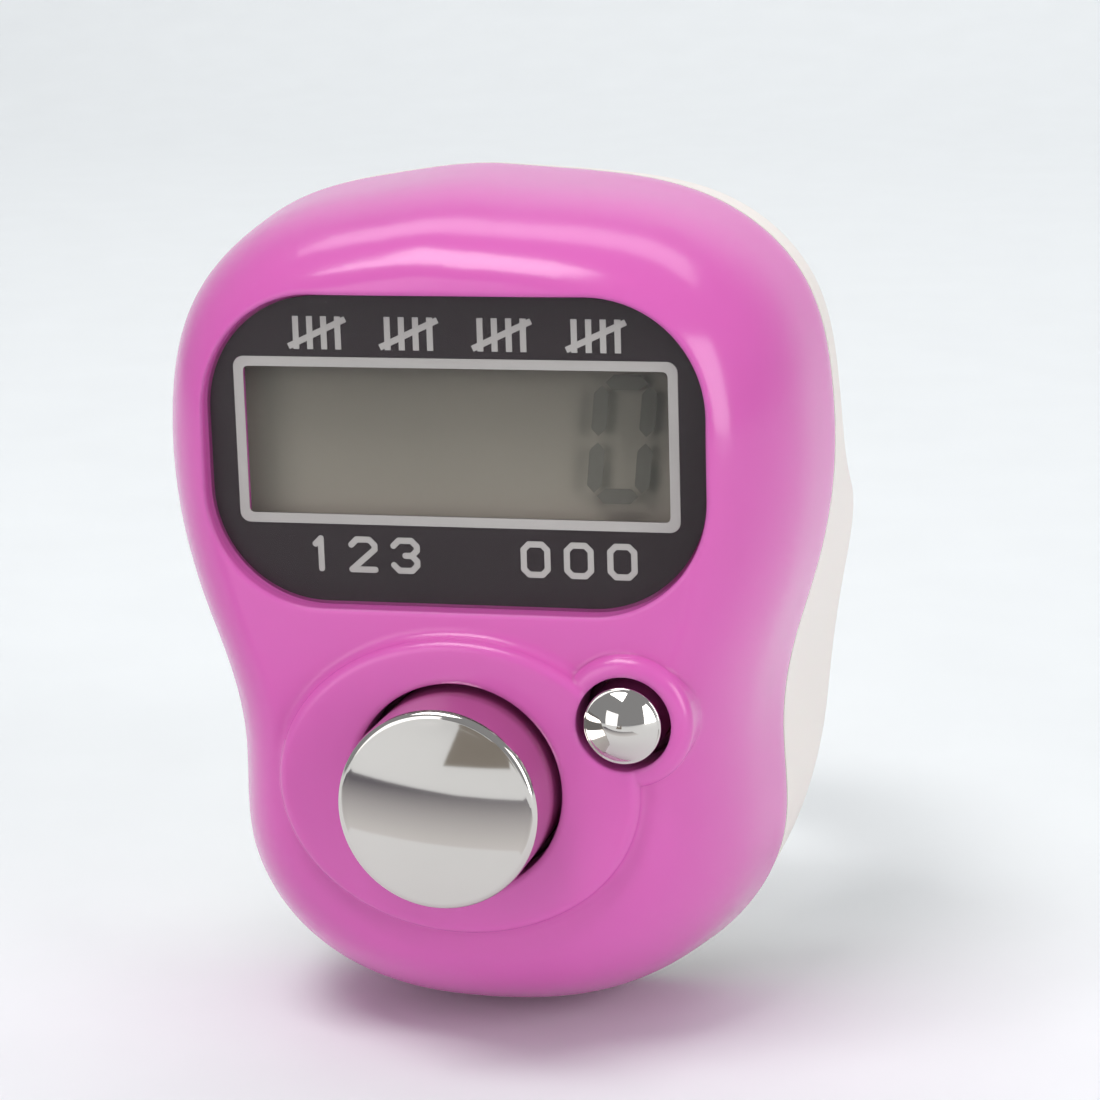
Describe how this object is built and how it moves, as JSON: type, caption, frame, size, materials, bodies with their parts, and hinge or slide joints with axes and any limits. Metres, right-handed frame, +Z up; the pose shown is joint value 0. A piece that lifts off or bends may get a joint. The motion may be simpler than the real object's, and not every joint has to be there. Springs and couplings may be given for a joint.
{
  "type": "finger tally counter",
  "caption": "Finger-worn electronic tally counter with a window display, a large chrome count button, a small chrome reset button and an elastic finger strap.",
  "frame": {"origin": "Centre of the finger loop, on the axis of the finger and midway across the strap.", "axes": "+Z up along the finger towards the display end, +X to the right when reading the display, -Y out of the display face, +Y towards the strap. The loop's axis is Z."},
  "size_m": [0.031, 0.0405, 0.0403],
  "materials": {
    "pink_plastic": "glossy moulded plastic",
    "cream_plastic": "satin moulded plastic",
    "clear_acrylic": "clear polished acrylic",
    "black_print": "black printing ink",
    "white_print": "white printing ink",
    "adhesive_tape": "thin double-sided tape",
    "polariser": "thin grey-green film",
    "cell_glass": "thin clear glass",
    "reflector_film": "olive grey reflector film",
    "liquid_crystal": "dark display segments",
    "white_plastic": "white moulded plastic",
    "strip_rubber": "layered silicone connector",
    "board_laminate": "green glass-epoxy board",
    "carbon_print": "carbon contact ink",
    "epoxy": "black epoxy",
    "chip_ceramic": "tan ceramic chips",
    "chip_black": "black coated chips",
    "chrome_plate": "mirror chrome plated plastic",
    "silicone": "translucent silicone rubber",
    "steel_can": "nickel plated steel can",
    "spring_metal": "nickel plated spring strip",
    "screw_steel": "zinc plated steel",
    "strap_rubber": "soft cream elastomer"
  },
  "bodies": {
    "case": {"front_shell": "pink_plastic", "rear_shell": "cream_plastic", "battery_cover": "cream_plastic", "lens": "clear_acrylic", "lens_mask": "black_print", "lens_marks": "white_print", "lens_tape": "adhesive_tape", "lcd_front_polariser": "polariser", "lcd_front_glass": "cell_glass", "lcd_rear_glass": "cell_glass", "lcd_reflector": "reflector_film", "lcd_digit": "liquid_crystal", "lcd_holder": "white_plastic", "zebra_strip": "strip_rubber", "circuit_board": "board_laminate", "contact_pads": "carbon_print", "chip_blob": "epoxy", "chip_capacitors": "chip_ceramic", "chip_resistors": "chip_black", "count_dome": "silicone", "reset_dome": "silicone", "button_cell": "steel_can", "contact_minus": "spring_metal", "contact_plus": "spring_metal", "case_screws": "screw_steel", "board_screws": "screw_steel", "cover_screw": "screw_steel", "finger_strap": "strap_rubber", "strap_pins": "screw_steel"},
    "count": {"count_button": "chrome_plate"},
    "reset": {"reset_button": "chrome_plate"}
  },
  "joints": [
    {"name": "count_press", "type": "slide", "parent": "case", "child": "count", "axis": [0, 1, 0], "range_m": [0, 0.0012], "stiffness_N_per_m": 1500, "deforming": ["count_dome"]},
    {"name": "reset_press", "type": "slide", "parent": "case", "child": "reset", "axis": [0, 1, 0], "range_m": [0, 0.0008], "stiffness_N_per_m": 1500, "deforming": ["reset_dome"]}
  ]
}
